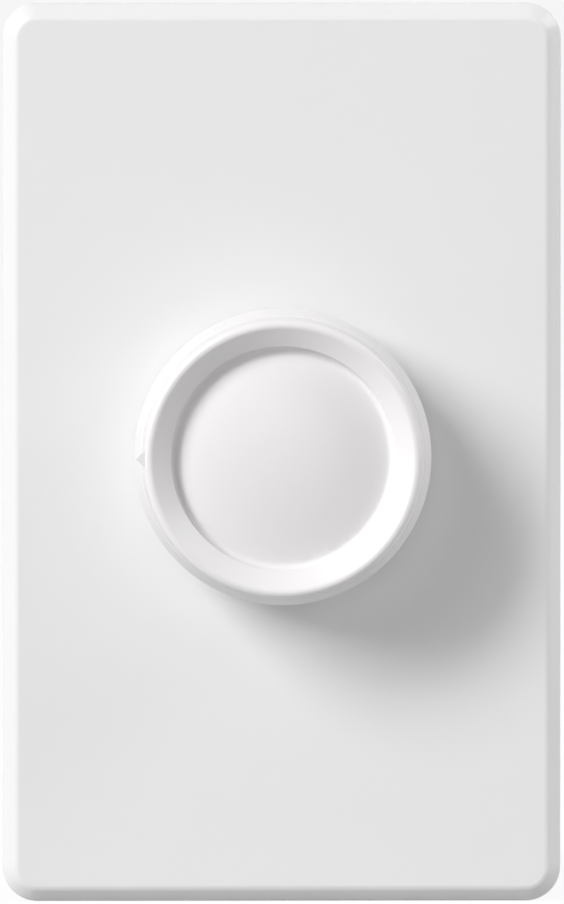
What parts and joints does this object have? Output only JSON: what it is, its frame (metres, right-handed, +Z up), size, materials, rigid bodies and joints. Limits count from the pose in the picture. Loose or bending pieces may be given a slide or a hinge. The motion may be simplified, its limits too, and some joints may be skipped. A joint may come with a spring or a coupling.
{
  "type": "rotary fan speed control",
  "caption": "White rotary fan speed control: a dished round knob on a screwless bevelled wall plate, with a metal mounting yoke and a moulded back housing.",
  "frame": {"origin": "on the knob's axis at the wall plane, where the back rim of the plate meets the wall", "axes": "+Z up, +X to the right seen from the room, +Y into the wall, so the knob faces -Y"},
  "size_m": [0.071, 0.049, 0.1142],
  "materials": {
    "plate_white": "injection moulded white plastic, satin gloss",
    "knob_white": "injection moulded white plastic, satin gloss",
    "adapter_white": "moulded white plastic, matt tool finish",
    "yoke_metal": "stamped aluminium sheet, mill finish",
    "housing_plastic": "moulded flame-retardant plastic, fine spark texture",
    "zinc_steel": "zinc plated steel",
    "rivet_metal": "bright aluminium",
    "nickel_brass": "nickel plated brass",
    "spring_brass": "spring brass and phosphor bronze strip",
    "spring_steel": "blued spring steel",
    "fibre": "vulcanised fibre board",
    "shaft_plastic": "turned natural acetal",
    "phenolic": "brown phenolic laminate",
    "rotor_plastic": "moulded nylon",
    "board_laminate": "glass-epoxy circuit board with solder mask",
    "epoxy_black": "transfer moulded epoxy",
    "tinned_copper": "tin plated copper",
    "insulator": "silicone insulating pad",
    "core_powder": "powdered iron core with a painted coat",
    "enamelled_copper": "enamelled copper wire",
    "film_capacitor": "plastic cased film capacitor",
    "dipped_capacitor": "dip coated capacitor",
    "resistor_coat": "lacquered resistor",
    "diode_glass": "glass sealed diode"
  },
  "bodies": {
    "body": {"wall_plate": "plate_white", "adapter_frame": "adapter_white", "adapter_screws": "zinc_steel", "mounting_yoke": "yoke_metal", "box_screws": "zinc_steel", "screw_retainers": "fibre", "back_housing": "housing_plastic", "housing_rivets": "rivet_metal", "shaft_bush": "nickel_brass", "lock_washer": "zinc_steel", "bush_nut": "nickel_brass", "resistance_wafer": "phenolic", "element_lugs": "tinned_copper", "element_can": "zinc_steel", "switch_base": "phenolic", "switch_blade": "spring_brass", "switch_contact": "spring_brass", "circuit_board": "board_laminate", "triac_pad": "insulator", "triac_tab": "tinned_copper", "triac_body": "epoxy_black", "triac_leads": "tinned_copper", "triac_rivet": "rivet_metal", "choke_core": "core_powder", "choke_winding": "enamelled_copper", "filter_capacitor": "film_capacitor", "timing_capacitor": "dipped_capacitor", "timing_resistor": "resistor_coat", "trigger_diac": "diode_glass"},
    "knob": {"knob": "knob_white", "knob_spring": "spring_steel", "control_shaft": "shaft_plastic", "shaft_clip": "spring_steel", "element_rotor": "rotor_plastic", "element_wiper": "spring_brass", "switch_cam": "rotor_plastic"}
  },
  "joints": [
    {"name": "knob_turn", "type": "hinge", "parent": "body", "child": "knob", "pos_m": [0, 0, 0], "axis": [0, 1, 0], "range_deg": [-60, 240]}
  ]
}
